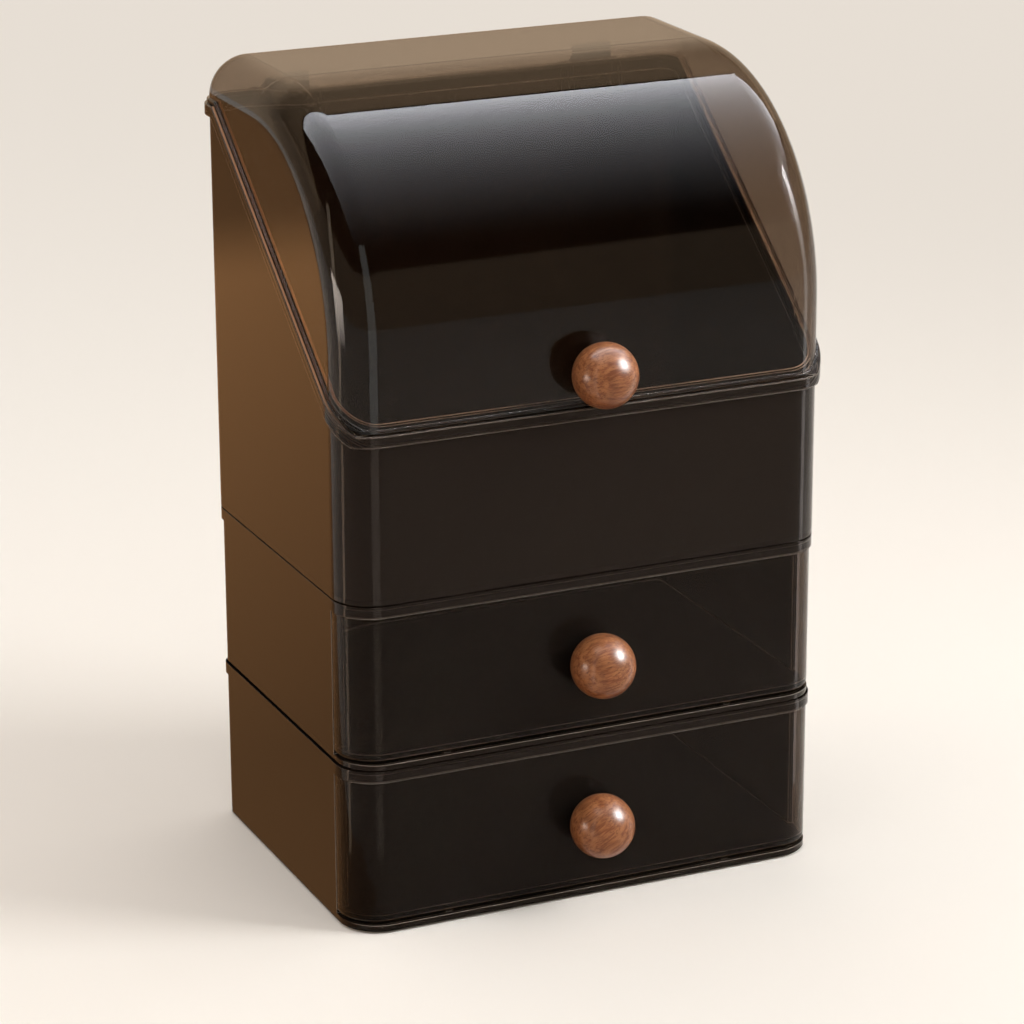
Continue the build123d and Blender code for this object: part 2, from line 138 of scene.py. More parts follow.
# ------------------------------------------------------------------ finishes
@dataclass(frozen=True)
class ClearStyrene:
    """Injection moulded smoky styrene, polished in the mould: clear, with slow flow ripples, painted highlight lines
    along its edges, a painted warm glow on the rim ledge and painted shade bands at the joins.
    """

    name: str
    passes: str                 # colour of white light after one wall
    passes_mm: float            # thickness of that wall
    body: str                   # faint colour of the dye itself
    clearness: float = 0.9      # share of light that the dye lets through unscattered
    gloss: str = "#ffffff"      # tint of the head-on reflection
    ior: float = 1.49
    smooth: float = 0.02        # roughness of polished places
    handled: float = 0.07       # roughness of handled places
    flow_mm: float = 38.0       # length of a flow ripple
    flow_depth_mm: float = 0.018
    handling_mm: float = 55.0   # size of a handled patch
    painted_edge_highlight: str = "#f4efe8"       # colour of the painted highlight along the edges
    painted_highlight_mm: float = 0.6        # width of the painted edge highlight
    painted_highlight_front_share: float = 0.9     # share of the painted edge highlight on edges that face the front
    painted_highlight_side_share: float = 0.5    # the same at the sides and the back
    painted_highlight_from_mm: float = -20.0     # height where the painted edge highlights begin
    ledge: tuple[float, float] = (-0.572, 0.82)     # Y and Z of the way a sloping rim ledge faces
    painted_ledge_glow_share: float = 0.0    # strength of the painted warm glow on that ledge, on the -X side
    painted_ledge_glow_from_mm: float = 241.0    # height where the painted glow sets in
    # colour of the painted glow on the rim ledge
    painted_ledge_glow: str = "#dca67e"
    painted_shade_heights: tuple[float, ...] = ()   # heights of the painted shade bands in the gaps between stacked parts and at the foot, metres
    painted_shade_half_mm: float = 0.3       # half the height of a painted shade band

    def build(self) -> bpy.types.Material:
        """Makes the material: glass-like surface over an absorbing volume, with painted edge highlights, a painted
        ledge glow and painted shade bands.
        """
        material, tree = new_material(self.name)
        place = add_node(tree, "ShaderNodeTexCoord")
        ripple = add_node(tree, "ShaderNodeTexNoise", {
            "Vector": place.outputs["Object"], "Scale": 1 / (self.flow_mm * MM), "Detail": 1.0, "Roughness": 0.4})
        rounded = add_node(tree, "ShaderNodeBevel", {"Radius": self.painted_highlight_mm * MM}, samples=8)
        bump = add_node(tree, "ShaderNodeBump", {
            "Height": ripple.outputs["Fac"], "Strength": 1.0, "Distance": self.flow_depth_mm * MM})
        patch = add_node(tree, "ShaderNodeTexNoise", {
            "Vector": place.outputs["Object"], "Scale": 1 / (self.handling_mm * MM), "Detail": 3.0, "Roughness": 0.6})
        rough = add_node(tree, "ShaderNodeMapRange", {
            "Value": patch.outputs["Fac"], "From Min": 0.4, "From Max": 0.75,
            "To Min": self.smooth, "To Max": self.handled})
        # painted highlight: where the bevel normal turns away from the true normal, the colour goes pale and the wall
        # stops letting light through, more on edges that face the front
        flat = add_node(tree, "ShaderNodeNewGeometry")
        turn = add_node(tree, "ShaderNodeVectorMath", {
            0: rounded.outputs["Normal"], 1: flat.outputs["Normal"]}, operation="DOT_PRODUCT")
        ahead = add_node(tree, "ShaderNodeSeparateXYZ", {"Vector": rounded.outputs["Normal"]})
        facing = add_node(tree, "ShaderNodeMapRange", {
            "Value": ahead.outputs["Y"], "From Min": -0.25, "From Max": -0.6,
            "To Min": self.painted_highlight_side_share, "To Max": self.painted_highlight_front_share})
        height = add_node(tree, "ShaderNodeSeparateXYZ", {"Vector": place.outputs["Object"]})
        share = add_node(tree, "ShaderNodeMapRange", {
            "Value": height.outputs["Z"], "From Min": self.painted_highlight_from_mm * MM, "From Max": (self.painted_highlight_from_mm + 8) * MM,
            "To Min": 0.0, "To Max": facing.outputs["Result"]})
        painted_edge_highlight = add_node(tree, "ShaderNodeMapRange", {
            "Value": turn.outputs["Value"], "From Min": 0.995, "From Max": 0.9,
            "To Min": 0.0, "To Max": share.outputs["Result"]})
        # painted glow: a warm colour laid on the sloping ledge of the rim above a set height, strong on the -X side
        # and faint on the +X side
        slope = add_node(tree, "ShaderNodeVectorMath", {
            0: flat.outputs["Normal"], 1: (0.0, *self.ledge)}, operation="DOT_PRODUCT")
        painted_glow_side = add_node(tree, "ShaderNodeMapRange", {
            "Value": height.outputs["X"], "From Min": -0.1, "From Max": 0.1,
            "To Min": self.painted_ledge_glow_share, "To Max": 0.12 * self.painted_ledge_glow_share})
        painted_glow_rise = add_node(tree, "ShaderNodeMapRange", {
            "Value": height.outputs["Z"], "From Min": self.painted_ledge_glow_from_mm * MM,
            "From Max": (self.painted_ledge_glow_from_mm + 14) * MM, "To Min": 0.0, "To Max": painted_glow_side.outputs["Result"]})
        ledge = add_node(tree, "ShaderNodeMapRange", {
            "Value": slope.outputs["Value"], "From Min": 0.985, "From Max": 0.998,
            "To Min": 0.0, "To Max": painted_glow_rise.outputs["Result"]})
        painted_highlight_mix = add_node(tree, "ShaderNodeMix", {
            0: painted_edge_highlight.outputs["Result"], 6: rgba(self.body), 7: rgba(self.painted_edge_highlight)}, data_type="RGBA")
        colour = add_node(tree, "ShaderNodeMix", {
            0: ledge.outputs["Result"], 6: painted_highlight_mix.outputs[2], 7: rgba(self.painted_ledge_glow)}, data_type="RGBA")
        lit = add_node(tree, "ShaderNodeMath", {
            0: painted_edge_highlight.outputs["Result"], 1: ledge.outputs["Result"]}, operation="MAXIMUM")
        clear = add_node(tree, "ShaderNodeMapRange", {
            "Value": lit.outputs["Value"], "To Min": self.clearness, "To Max": 0.0})
        surface = add_node(tree, "ShaderNodeBsdfPrincipled", {
            "Base Color": colour.outputs[2], "Transmission Weight": clear.outputs["Result"], "IOR": self.ior,
            "Specular Tint": rgba(self.gloss),
            "Roughness": rough.outputs["Result"], "Normal": bump.outputs["Normal"]})
        per_metre = [-math.log(channel) / (self.passes_mm * MM) for channel in linear(self.passes)]
        density = 1.25 * max(per_metre)
        volume = add_node(tree, "ShaderNodeVolumeAbsorption", {
            "Color": (*[1 - share / density for share in per_metre], 1.0), "Density": density})
        # lamps reach what lies behind the wall, tinted once at each face
        through = add_node(tree, "ShaderNodeBsdfTransparent", {
            "Color": (*[math.sqrt(channel) for channel in linear(self.passes)], 1.0)})
        finish = surface.outputs["BSDF"]
        # painted shade: a near-black matt band at each listed height stands in for the shade in the gaps between
        # stacked parts and at the foot
        for painted_shade_height in self.painted_shade_heights:
            painted_shade_band = add_node(tree, "ShaderNodeMath", {
                0: height.outputs["Z"], 1: painted_shade_height, 2: self.painted_shade_half_mm * MM}, operation="COMPARE")
            dark = add_node(tree, "ShaderNodeBsdfDiffuse", {"Color": rgba("#0c0806")})
            finish = add_node(tree, "ShaderNodeMixShader", {
                0: painted_shade_band.outputs["Value"], 1: finish, 2: dark.outputs["BSDF"]}).outputs["Shader"]
        path = add_node(tree, "ShaderNodeLightPath")
        mixed = add_node(tree, "ShaderNodeMixShader", {
            0: path.outputs["Is Shadow Ray"], 1: finish, 2: through.outputs["BSDF"]})
        add_node(tree, "ShaderNodeOutputMaterial", {
            "Surface": mixed.outputs["Shader"], "Volume": volume.outputs["Volume"]})
        return material


@dataclass(frozen=True)
class LacqueredBall:
    """Turned hardwood under a glossy lacquer: fine straight grain, pores, a warm red-brown."""

    name: str
    centre: tuple[float, float, float]
    turn: tuple[float, float, float]
    early: str = "#a86e46"
    late: str = "#80492c"
    pore: str = "#542f1a"
    grain_mm: float = 1.5       # height of a grain streak
    pore_mm: float = 0.55       # height of a pore fleck

    def build(self) -> bpy.types.Material:
        """Makes the material, with the grain centred on this ball."""
        material, tree = new_material(self.name)
        place = add_node(tree, "ShaderNodeTexCoord")
        centred = add_node(tree, "ShaderNodeMapping", {
            "Vector": place.outputs["Object"], "Location": tuple(-c for c in self.centre)})
        turned = add_node(tree, "ShaderNodeMapping", {"Vector": centred.outputs["Vector"], "Rotation": self.turn})
        long_grain = add_node(tree, "ShaderNodeMapping", {
            "Vector": turned.outputs["Vector"], "Scale": (0.14, 1.0, 1.0)})
        streaks = add_node(tree, "ShaderNodeTexNoise", {
            "Vector": long_grain.outputs["Vector"], "Scale": 1 / (self.grain_mm * MM), "Detail": 3.0,
            "Roughness": 0.55, "Distortion": 0.4})
        short_grain = add_node(tree, "ShaderNodeMapping", {
            "Vector": turned.outputs["Vector"], "Scale": (0.22, 1.0, 1.0)})
        pores = add_node(tree, "ShaderNodeTexNoise", {
            "Vector": short_grain.outputs["Vector"], "Scale": 1 / (self.pore_mm * MM), "Detail": 2.0,
            "Roughness": 0.6})
        blotch = add_node(tree, "ShaderNodeTexNoise", {
            "Vector": turned.outputs["Vector"], "Scale": 1 / (9 * MM), "Detail": 2.0})
        wood_share = add_node(tree, "ShaderNodeMapRange", {
            "Value": streaks.outputs["Fac"], "From Min": 0.36, "From Max": 0.6})
        wood = add_node(tree, "ShaderNodeMix", {
            0: wood_share.outputs["Result"], 6: rgba(self.late), 7: rgba(self.early)}, data_type="RGBA")
        pore_share = add_node(tree, "ShaderNodeMapRange", {
            "Value": pores.outputs["Fac"], "From Min": 0.56, "From Max": 0.7, "To Min": 0.0, "To Max": 0.7})
        pored = add_node(tree, "ShaderNodeMix", {
            0: pore_share.outputs["Result"], 6: wood.outputs[2], 7: rgba(self.pore)}, data_type="RGBA")
        tone = add_node(tree, "ShaderNodeMapRange", {
            "Value": blotch.outputs["Fac"], "From Min": 0.3, "From Max": 0.7, "To Min": 0.8, "To Max": 1.15})
        toned = add_node(tree, "ShaderNodeVectorMath", {
            0: pored.outputs[2], "Scale": tone.outputs["Result"]}, operation="SCALE")
        bump = add_node(tree, "ShaderNodeBump", {
            "Height": pores.outputs["Fac"], "Strength": 0.35, "Distance": 0.03 * MM})
        rough = add_node(tree, "ShaderNodeMapRange", {
            "Value": pores.outputs["Fac"], "From Min": 0.3, "From Max": 0.7, "To Min": 0.26, "To Max": 0.42})
        surface = add_node(tree, "ShaderNodeBsdfPrincipled", {
            "Base Color": toned.outputs["Vector"], "Roughness": rough.outputs["Result"], "IOR": 1.5,
            "Specular IOR Level": 0.12, "Normal": bump.outputs["Normal"],
            "Coat Weight": 0.42, "Coat Roughness": 0.2, "Coat IOR": 1.5})
        add_node(tree, "ShaderNodeOutputMaterial", {"Surface": surface.outputs["BSDF"]})
        return material


@dataclass(frozen=True)
class SolidFinish:
    """Opaque finish with a soft mottle in its roughness and a fine surface bump."""

    name: str
    colour: str
    worn: str
    rough: float
    spread: float
    metallic: float = 0.0
    grain_mm: float = 1.0
    bump_mm: float = 0.005
    stretch: tuple[float, float, float] = (1.0, 1.0, 1.0)

    def build(self) -> bpy.types.Material:
        """Makes the material."""
        material, tree = new_material(self.name)
        place = add_node(tree, "ShaderNodeTexCoord")
        drawn = add_node(tree, "ShaderNodeMapping", {"Vector": place.outputs["Object"], "Scale": self.stretch})
        grain = add_node(tree, "ShaderNodeTexNoise", {
            "Vector": drawn.outputs["Vector"], "Scale": 1 / (self.grain_mm * MM), "Detail": 3.0})
        colour = add_node(tree, "ShaderNodeMix", {
            0: grain.outputs["Fac"], 6: rgba(self.colour), 7: rgba(self.worn)}, data_type="RGBA")
        rough = add_node(tree, "ShaderNodeMapRange", {
            "Value": grain.outputs["Fac"], "To Min": self.rough - self.spread, "To Max": self.rough + self.spread})
        bump = add_node(tree, "ShaderNodeBump", {
            "Height": grain.outputs["Fac"], "Strength": 0.5, "Distance": self.bump_mm * MM})
        surface = add_node(tree, "ShaderNodeBsdfPrincipled", {
            "Base Color": colour.outputs[2], "Roughness": rough.outputs["Result"], "Metallic": self.metallic,
            "Normal": bump.outputs["Normal"]})
        add_node(tree, "ShaderNodeOutputMaterial", {"Surface": surface.outputs["BSDF"]})
        return material


# ------------------------------------------------------------------ helpers for CAD nodes
def dress(node: str, material: bpy.types.Material) -> None:
    """Gives a CAD node a better material.

    Args:
        node: name of the CAD node.
        material: finish for all of it.
    """
    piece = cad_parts[node]
    for slot in piece.material_slots:
        slot.material = material
    LOG.info("%s dressed in %s", node, material.name)


def grow_piece(name: str, tree: bpy.types.NodeTree, values: dict, place: Matrix,
               node: str, body: Body) -> bpy.types.Object:
    """Grows a mesh from a node tree and puts it in the place of a CAD node.

    Args:
        name: name of the new piece.
        tree: geometry node tree.
        values: value of each named input of the tree.
        place: where the grown mesh goes.
        node: CAD node that the piece stands for.
        body: body that carries the piece.

    Returns:
        The finished piece, a plain mesh at the origin.
    """
    seed = bpy.data.objects.new(f"{name}_seed", bpy.data.meshes.new(f"{name}_seed"))
    bpy.context.scene.collection.objects.link(seed)
    grower = seed.modifiers.new("grow", "NODES")
    grower.node_group = tree
    for socket in tree.interface.items_tree:
        if socket.in_out == "INPUT" and socket.name in values:
            grower[socket.identifier] = values[socket.name]
    grown = bpy.data.meshes.new_from_object(seed.evaluated_get(bpy.context.evaluated_depsgraph_get()))
    seed.modifiers.remove(grower)
    bpy.data.objects.remove(seed)
    grown.transform(place)
    grown.name = name
    piece = bpy.data.objects.new(name, grown)
    bpy.context.scene.collection.objects.link(piece)
    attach(piece, body.value)
    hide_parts(node)
    LOG.info("%s grown with %d faces on %s", name, len(grown.polygons), body.value)
    return piece


def middle(node: str) -> Vector:
    """Middle of a CAD node's box."""
    low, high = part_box(node)
    return (low + high) / 2


# ------------------------------------------------------------------ sub-assemblies
@dataclass
class SmokyShell:
    """The five plastic mouldings: hood, bin, cases and drawers."""

    wall_mm: float = 2.2
    lid_wall_mm: float = 2.0

    def build(self) -> None:
        """Dresses each moulding."""
        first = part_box("middle_case")[0].z
        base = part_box("lower_case")[0].z
        # heights of the painted shade bands: the two joins between stacked parts and the foot of the lower case
        painted_shade_heights = (first, 2 * first - base, base)
        hood = ClearStyrene("SmokyClearStyreneHood", "#b0a397", self.lid_wall_mm, "#ffffff", 1.0, "#aaaaaa",
                            painted_highlight_front_share=0.2, painted_highlight_side_share=0.2)
        dark = ClearStyrene("SmokyClearStyreneBin", "#2c2621", self.wall_mm, "#b09c8c", 0.972, "#887a74",
                            painted_highlight_mm=1.1, painted_highlight_side_share=0.9, painted_highlight_from_mm=200.0, painted_ledge_glow_share=0.8, painted_shade_heights=painted_shade_heights)
        case = ClearStyrene("SmokyClearStyreneCase", "#2c2621", self.wall_mm, "#b09c8c", 0.975, "#887a74",
                            painted_highlight_mm=0.45, painted_highlight_front_share=0.7, painted_highlight_side_share=0.0, painted_shade_heights=painted_shade_heights)
        drawer = ClearStyrene("SmokyClearStyreneDrawer", "#9a9086", self.wall_mm, "#f0e2d4", 0.992, "#70645e",
                              painted_highlight_side_share=0.8)
        dress("lid", hood.build())
        dress("upper_bin", dark.build())
        case_material = case.build()
        drawer_material = drawer.build()
        for level in ("middle", "lower"):
            dress(f"{level}_case", case_material)
            dress(f"{level}_drawer", drawer_material)


@dataclass
class Hardware:
    """Knobs, screws, washers, hinge pins and foot pads."""

    knobs: tuple[str, ...] = ("lid", "middle", "lower")

    def build(self) -> None:
        """Dresses each small piece."""
        steel = SolidFinish("ZincPlatedSteel", "#b9babd", "#8f9092", 0.28, 0.08, metallic=1.0, grain_mm=1.5).build()
        nylon = SolidFinish("NaturalNylon", "#cfc9bd", "#b8b0a2", 0.5, 0.08, grain_mm=2.0).build()
        pin = SolidFinish("DrawnStainlessSteel", "#9d9ea0", "#7d7e80", 0.32, 0.08, metallic=1.0, grain_mm=0.4,
                          stretch=(0.05, 1.0, 1.0)).build()
        rubber = SolidFinish("MouldedSilicone", "#8c857c", "#6f6961", 0.65, 0.08, grain_mm=1.2).build()
        screw = KnobScrew()
        carriers = dict(zip(self.knobs, (Body.LID, Body.MIDDLE_DRAWER, Body.LOWER_DRAWER)))
        for index, seat in enumerate(self.knobs):
            ball = LacqueredBall(f"LacqueredHardwood_{seat}", tuple(middle(f"{seat}_knob")),
                                 (0.12 + 0.5 * index, 0.1, 0.05 + 0.3 * index))
            dress(f"{seat}_knob", ball.build())
            screw.build(f"{seat}_knob_screw", carriers[seat], steel)
            dress(f"{seat}_knob_washer", nylon)
        for side in ("left", "right"):
            dress(f"hinge_pin_{side}", pin)
            for end in ("front", "back"):
                dress(f"foot_pad_{end}_{side}", rubber)


# ------------------------------------------------------------------ turned and threaded pieces
@dataclass
class KnobScrew:
    """Pan head screw with a cross recess and a rolled thread, grown along its own axis."""

    head_height_mm: float = 2.6
    shank_radius_mm: float = 1.9
    pitch_mm: float = 0.7
    thread_mm: float = 0.32     # how far the thread stands out of the shank
    recess_mm: float = 1.1      # width of a recess arm
    recess_depth_mm: float = 1.3
    tip_gap_mm: float = 0.5     # plain shank between thread and tip
    tree: Optional[bpy.types.NodeTree] = None

    def grow_tree(self) -> bpy.types.NodeTree:
        """Builds the node tree that grows a screw, head up, with its seat at the origin.

        Returns:
            The tree, whose inputs are the sizes of one screw in metres and its material.
        """
        tree = bpy.data.node_groups.new("pan_head_screw", "GeometryNodeTree")
        face = tree.interface
        face.new_socket("Geometry", in_out="INPUT", socket_type="NodeSocketGeometry")
        for name in ("Head Radius", "Head Height", "Shank Radius", "Shank Length", "Pitch",
                     "Thread Height", "Recess Width", "Recess Depth", "Tip Gap"):
            face.new_socket(name, in_out="INPUT", socket_type="NodeSocketFloat")
        face.new_socket("Finish", in_out="INPUT", socket_type="NodeSocketMaterial")
        face.new_socket("Geometry", in_out="OUTPUT", socket_type="NodeSocketGeometry")
        size = add_node(tree, "NodeGroupInput").outputs

        def sum_of(operation: str, first: Any, second: Any) -> bpy.types.NodeSocket:
            """Result of one arithmetic step."""
            return add_node(tree, "ShaderNodeMath", {0: first, 1: second}, operation=operation).outputs["Value"]

        # head: a ball whose lower half is pressed flat and whose upper half is squared up
        ball = add_node(tree, "GeometryNodeMeshUVSphere", {
            "Segments": 40, "Rings": 24, "Radius": size["Head Radius"]})
        place = add_node(tree, "GeometryNodeInputPosition")
        axes = add_node(tree, "ShaderNodeSeparateXYZ", {"Vector": place.outputs["Position"]})
        share = sum_of("DIVIDE", sum_of("MAXIMUM", axes.outputs["Z"], 0.0), size["Head Radius"])
        squared = sum_of("MULTIPLY", sum_of("POWER", share, 0.55), size["Head Height"])
        pressed = add_node(tree, "ShaderNodeCombineXYZ", {
            "X": axes.outputs["X"], "Y": axes.outputs["Y"], "Z": squared})
        head = add_node(tree, "GeometryNodeSetPosition", {
            "Geometry": ball.outputs["Mesh"], "Position": pressed.outputs["Vector"]})
        # cross recess
        arm_long = sum_of("MULTIPLY", size["Head Radius"], 1.15)
        deep = sum_of("MULTIPLY", size["Recess Depth"], 2.0)
        arms = []
        for x, y in ((arm_long, size["Recess Width"]), (size["Recess Width"], arm_long)):
            box = add_node(tree, "ShaderNodeCombineXYZ", {"X": x, "Y": y, "Z": deep})
            cube = add_node(tree, "GeometryNodeMeshCube", {"Size": box.outputs["Vector"]})
            lift = add_node(tree, "ShaderNodeCombineXYZ", {"Z": size["Head Height"]})
            arms.append(add_node(tree, "GeometryNodeTransform", {
                "Geometry": cube.outputs["Mesh"], "Translation": lift.outputs["Vector"]}))
        cut = add_node(tree, "GeometryNodeMeshBoolean", {"Mesh 1": head.outputs["Geometry"]}, operation="DIFFERENCE")
        for arm in arms:
            tree.links.new(arm.outputs["Geometry"], cut.inputs["Mesh 2"])
        # shank below the seat
        shank = add_node(tree, "GeometryNodeMeshCylinder", {
            "Vertices": 32, "Radius": size["Shank Radius"], "Depth": size["Shank Length"]})
        down = add_node(tree, "ShaderNodeCombineXYZ", {"Z": sum_of("MULTIPLY", size["Shank Length"], -0.5)})
        hung = add_node(tree, "GeometryNodeTransform", {
            "Geometry": shank.outputs["Mesh"], "Translation": down.outputs["Vector"]})
        # thread: a helix with a three-sided section
        span = sum_of("SUBTRACT", size["Shank Length"], sum_of("MULTIPLY", size["Tip Gap"], 3.0))
        helix = add_node(tree, "GeometryNodeCurveSpiral", {
            "Resolution": 28, "Rotations": sum_of("DIVIDE", span, size["Pitch"]),
            "Start Radius": size["Shank Radius"], "End Radius": size["Shank Radius"], "Height": span})
        ridge = add_node(tree, "GeometryNodeCurvePrimitiveCircle", {
            "Resolution": 3, "Radius": size["Thread Height"]})
        wound = add_node(tree, "GeometryNodeCurveToMesh", {
            "Curve": helix.outputs["Curve"], "Profile Curve": ridge.outputs["Curve"], "Fill Caps": True})
        start = sum_of("MULTIPLY", sum_of("SUBTRACT", size["Shank Length"], size["Tip Gap"]), -1.0)
        lower = add_node(tree, "ShaderNodeCombineXYZ", {"Z": start})
        threaded = add_node(tree, "GeometryNodeTransform", {
            "Geometry": wound.outputs["Mesh"], "Translation": lower.outputs["Vector"]})
        whole = add_node(tree, "GeometryNodeJoinGeometry")
        for part in (cut.outputs["Mesh"], hung.outputs["Geometry"], threaded.outputs["Geometry"]):
            tree.links.new(part, whole.inputs["Geometry"])
        real = add_node(tree, "GeometryNodeRealizeInstances", {"Geometry": whole.outputs["Geometry"]})
        dressed = add_node(tree, "GeometryNodeSetMaterial", {
            "Geometry": real.outputs["Geometry"], "Material": size["Finish"]})
        add_node(tree, "NodeGroupOutput", {"Geometry": dressed.outputs["Geometry"]})
        return tree

    def build(self, node: str, body: Body, finish: bpy.types.Material) -> None:
        """Grows one screw in the place of a CAD screw.

        Args:
            node: name of the CAD screw, whose box gives the place, head and length.
            body: body that carries it.
            finish: its material.
        """
        if self.tree is None:
            self.tree = self.grow_tree()
        low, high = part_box(node)
        length = high.y - low.y - self.head_height_mm * MM
        sizes = {
            "Head Radius": (high.x - low.x) / 2, "Head Height": self.head_height_mm * MM,
            "Shank Radius": (self.shank_radius_mm - self.thread_mm / 2) * MM, "Shank Length": length,
            "Pitch": self.pitch_mm * MM, "Thread Height": self.thread_mm * MM,
            "Recess Width": self.recess_mm * MM, "Recess Depth": self.recess_depth_mm * MM,
            "Tip Gap": self.tip_gap_mm * MM, "Finish": finish}
        seat = Vector(((low.x + high.x) / 2, high.y - self.head_height_mm * MM, (low.z + high.z) / 2))
        # the screw grows head up, so it is laid over until its head looks to the back
        grow_piece(f"{node}_pan_head", self.tree, sizes, Matrix.Translation(seat) @ Matrix.Rotation(
            -math.pi / 2, 4, "X"), node, body)


# ------------------------------------------------------------------ studio
class Reach(Enum):
    """What a lamp acts on."""

    ALL = "everything"
    FILL = "lights surfaces, has no mirror image"
    SHINE = "shows as a mirror image only"


@dataclass(frozen=True)
class Softbox:
    """Rectangular soft light, brightest along one edge if it falls off."""

    name: str
    centre: tuple[float, float, float]
    aim: tuple[float, float, float]
    wide: float
    high: float
    radiance: float
    tint: str = "#ffffff"
    reach: Reach = Reach.ALL
    fade: float = 0.0           # how steeply the light falls off along its height
    spread: float = 180.0       # degrees that the light fans out, as through a grid

    def build(self) -> bpy.types.Object:
        """Makes the lamp."""
        lamp = bpy.data.lights.new(self.name, "AREA")
        lamp.shape = "RECTANGLE"
        lamp.size = self.wide
        lamp.size_y = self.high
        lamp.energy = self.radiance * math.pi * self.wide * self.high
        lamp.color = linear(self.tint)
        lamp.spread = math.radians(self.spread)
        if self.fade:
            lamp.use_nodes = True
            tree = lamp.node_tree
            tree.nodes.clear()
            spot = add_node(tree, "ShaderNodeNewGeometry")
            split = add_node(tree, "ShaderNodeSeparateXYZ", {"Vector": spot.outputs["Parametric"]})
            steep = add_node(tree, "ShaderNodeMath", {0: split.outputs["Y"], 1: self.fade}, operation="POWER")
            glow = add_node(tree, "ShaderNodeEmission", {"Strength": steep.outputs["Value"]})
            add_node(tree, "ShaderNodeOutputLight", {"Surface": glow.outputs["Emission"]})
        box = bpy.data.objects.new(self.name, lamp)
        bpy.context.scene.collection.objects.link(box)
        away = Vector(self.aim) - Vector(self.centre)
        box.rotation_euler = away.to_track_quat("-Z", "Y").to_euler()
        box.location = self.centre
        box.visible_camera = False
        box.visible_transmission = False
        box.visible_diffuse = self.reach is not Reach.SHINE
        box.visible_glossy = self.reach is not Reach.FILL
        return box


@dataclass(frozen=True)
class MirrorCard:
    """Coloured card flat on the floor beside the object, there only for the glossy sides to mirror."""

    name: str
    outline: tuple[tuple[float, float], ...]
    tint: str
    radiance: float
    lift: float = 0.0005
    near: float = 0.15          # Y where it begins to brighten
    peak: float = 1.0           # Y of its brightest band
    far: float = 1.22           # Y where it is dim again
    dim: float = 0.4            # share of the light at both ends

    def build(self) -> None:
        """Makes the card."""
        mesh = bpy.data.meshes.new(self.name)
        mesh.from_pydata([(x, y, self.lift) for x, y in self.outline], [], [range(len(self.outline))])
        card = bpy.data.objects.new(self.name, mesh)
        bpy.context.scene.collection.objects.link(card)
        material, tree = new_material("WarmCard")
        place = add_node(tree, "ShaderNodeTexCoord")
        split = add_node(tree, "ShaderNodeSeparateXYZ", {"Vector": place.outputs["Object"]})
        rise = add_node(tree, "ShaderNodeMapRange", {
            "Value": split.outputs["Y"], "From Min": self.near, "From Max": self.peak,
            "To Min": self.dim * self.radiance, "To Max": self.radiance})
        fall = add_node(tree, "ShaderNodeMapRange", {
            "Value": split.outputs["Y"], "From Min": self.peak, "From Max": self.far,
            "To Min": 1.0, "To Max": self.dim}, interpolation_type="SMOOTHSTEP")
        glow = add_node(tree, "ShaderNodeMath", {
            0: rise.outputs["Result"], 1: fall.outputs["Result"]}, operation="MULTIPLY")
        lit = add_node(tree, "ShaderNodeEmission", {"Color": rgba(self.tint), "Strength": glow.outputs["Value"]})
        add_node(tree, "ShaderNodeOutputMaterial", {"Surface": lit.outputs["Emission"]})
        mesh.materials.append(material)
        card.visible_camera = False
        card.visible_diffuse = False
        card.visible_transmission = False
        card.visible_shadow = False


@dataclass(frozen=True)
class CornerTube:
    """Upright strip light near a front corner, which draws a thin line down the rounded plastic."""

    name: str
    corner: tuple[float, float]
    bearing: float              # degrees from straight ahead, to the right of the object
    away: float
    wide: float
    high: float
    radiance: float
    tint: str = "#ffffff"

    def build(self) -> None:
        """Makes the lamp."""
        angle = math.radians(self.bearing)
        x = self.corner[0] + self.away * math.sin(angle)
        y = self.corner[1] - self.away * math.cos(angle)
        Softbox(self.name, (x, y, self.high / 2), (*self.corner, self.high / 2), self.wide, self.high,
                self.radiance, self.tint, Reach.SHINE).build()


